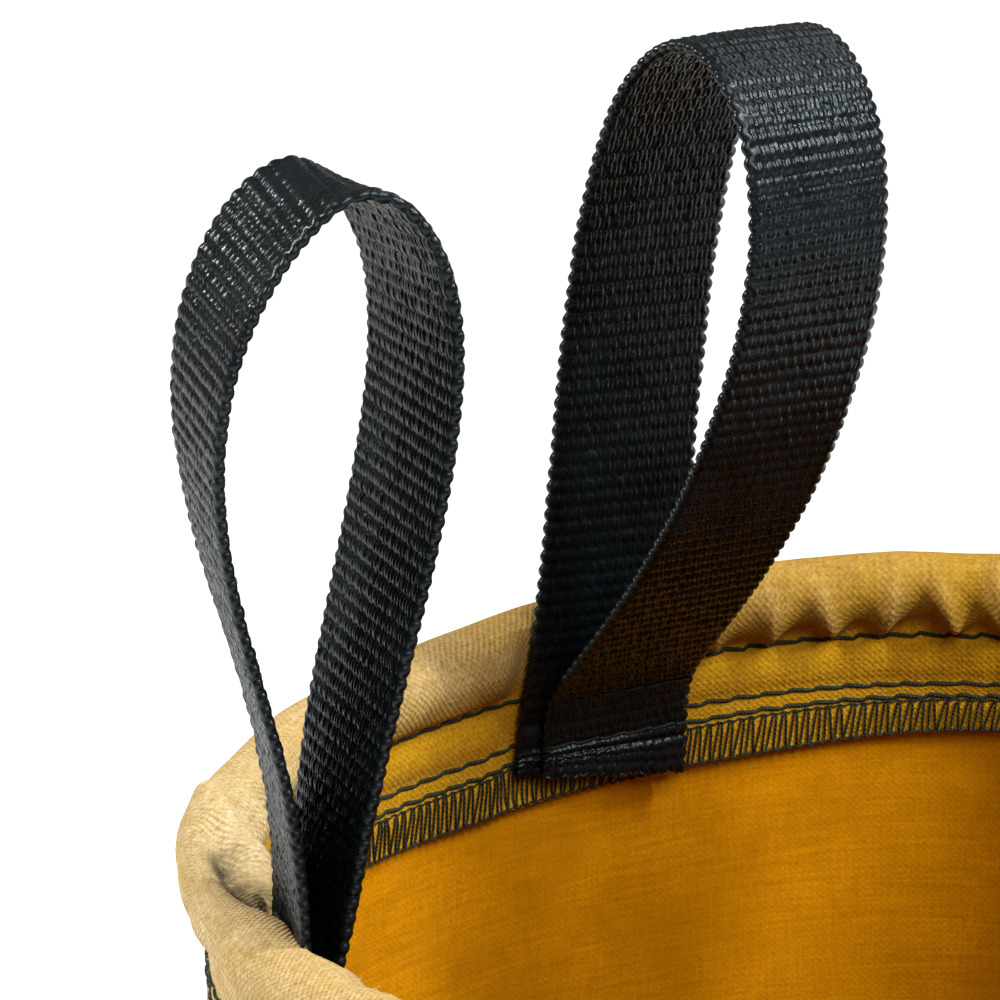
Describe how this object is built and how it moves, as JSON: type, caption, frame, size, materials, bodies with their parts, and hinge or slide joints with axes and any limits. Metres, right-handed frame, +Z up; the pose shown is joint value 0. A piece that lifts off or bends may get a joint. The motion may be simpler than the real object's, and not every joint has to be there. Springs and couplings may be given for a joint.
{
  "type": "tool bucket organizer",
  "caption": "Soft round canvas bucket with a rolled rim, upright webbing hanging loops, sewn pockets and tool sleeves, and a stiffened flat base.",
  "frame": {"origin": "centre of the round underside, on the surface that the bucket stands on", "axes": "+Z up; the outer pockets face +X, +Y, -X and -Y, and the four webbing loops stand in pairs 38.5 degrees each side of +X and of -X"},
  "size_m": [0.252, 0.252, 0.3724],
  "materials": {
    "canvas": "heavy mustard cotton duck canvas",
    "webbing": "black woven nylon webbing with a slight gloss",
    "binding_tape": "black woven binding tape",
    "thread": "black bonded sewing thread",
    "board": "black ribbed plastic sheet",
    "hoop": "pale flexible plastic rod"
  },
  "bodies": {
    "bucket": {"wall_panel": "canvas", "bottom_panel": "canvas", "rim_hoop": "hoop", "rim_thread": "thread", "base_board": "board", "bottom_lining": "canvas", "bottom_binding": "binding_tape", "side_seam_tape": "binding_tape", "outer_pocket_right": "canvas", "outer_tape_right": "binding_tape", "inner_pocket_right": "canvas", "inner_tape_right": "binding_tape", "outer_pocket_back": "canvas", "outer_tape_back": "binding_tape", "inner_pocket_back": "canvas", "inner_tape_back": "binding_tape", "outer_pocket_left": "canvas", "outer_tape_left": "binding_tape", "inner_pocket_left": "canvas", "inner_tape_left": "binding_tape", "outer_pocket_front": "canvas", "outer_tape_front": "binding_tape", "inner_pocket_front": "canvas", "inner_tape_front": "binding_tape", "loop_tab_back_right": "webbing", "sleeve_pocket_back_right": "canvas", "sleeve_tape_back_right": "binding_tape", "loop_tab_back_left": "webbing", "sleeve_pocket_back_left": "canvas", "sleeve_tape_back_left": "binding_tape", "loop_tab_front_left": "webbing", "sleeve_pocket_front_left": "canvas", "sleeve_tape_front_left": "binding_tape", "loop_tab_front_right": "webbing", "sleeve_pocket_front_right": "canvas", "sleeve_tape_front_right": "binding_tape"},
    "loop_back_right": {"web_loop_back_right": "webbing"},
    "loop_back_left": {"web_loop_back_left": "webbing"},
    "loop_front_left": {"web_loop_front_left": "webbing"},
    "loop_front_right": {"web_loop_front_right": "webbing"}
  },
  "joints": [
    {"name": "loop_back_right_fold", "type": "hinge", "parent": "bucket", "child": "loop_back_right", "pos_m": [0.07638, 0.06076, 0.243], "axis": [0.6225, -0.7826, 0], "range_deg": [0, 145], "stiffness_Nm_per_rad": 0.05, "springref_deg": -3.44},
    {"name": "loop_back_left_fold", "type": "hinge", "parent": "bucket", "child": "loop_back_left", "pos_m": [-0.07638, 0.06076, 0.243], "axis": [0.6225, 0.7826, 0], "range_deg": [0, 140], "stiffness_Nm_per_rad": 0.05, "springref_deg": -3.44},
    {"name": "loop_front_left_fold", "type": "hinge", "parent": "bucket", "child": "loop_front_left", "pos_m": [-0.07638, -0.06076, 0.243], "axis": [-0.6225, 0.7826, 0], "range_deg": [0, 150], "stiffness_Nm_per_rad": 0.05, "springref_deg": -3.44},
    {"name": "loop_front_right_fold", "type": "hinge", "parent": "bucket", "child": "loop_front_right", "pos_m": [0.07638, -0.06076, 0.243], "axis": [-0.6225, -0.7826, 0], "range_deg": [0, 145], "stiffness_Nm_per_rad": 0.05, "springref_deg": -3.44}
  ]
}
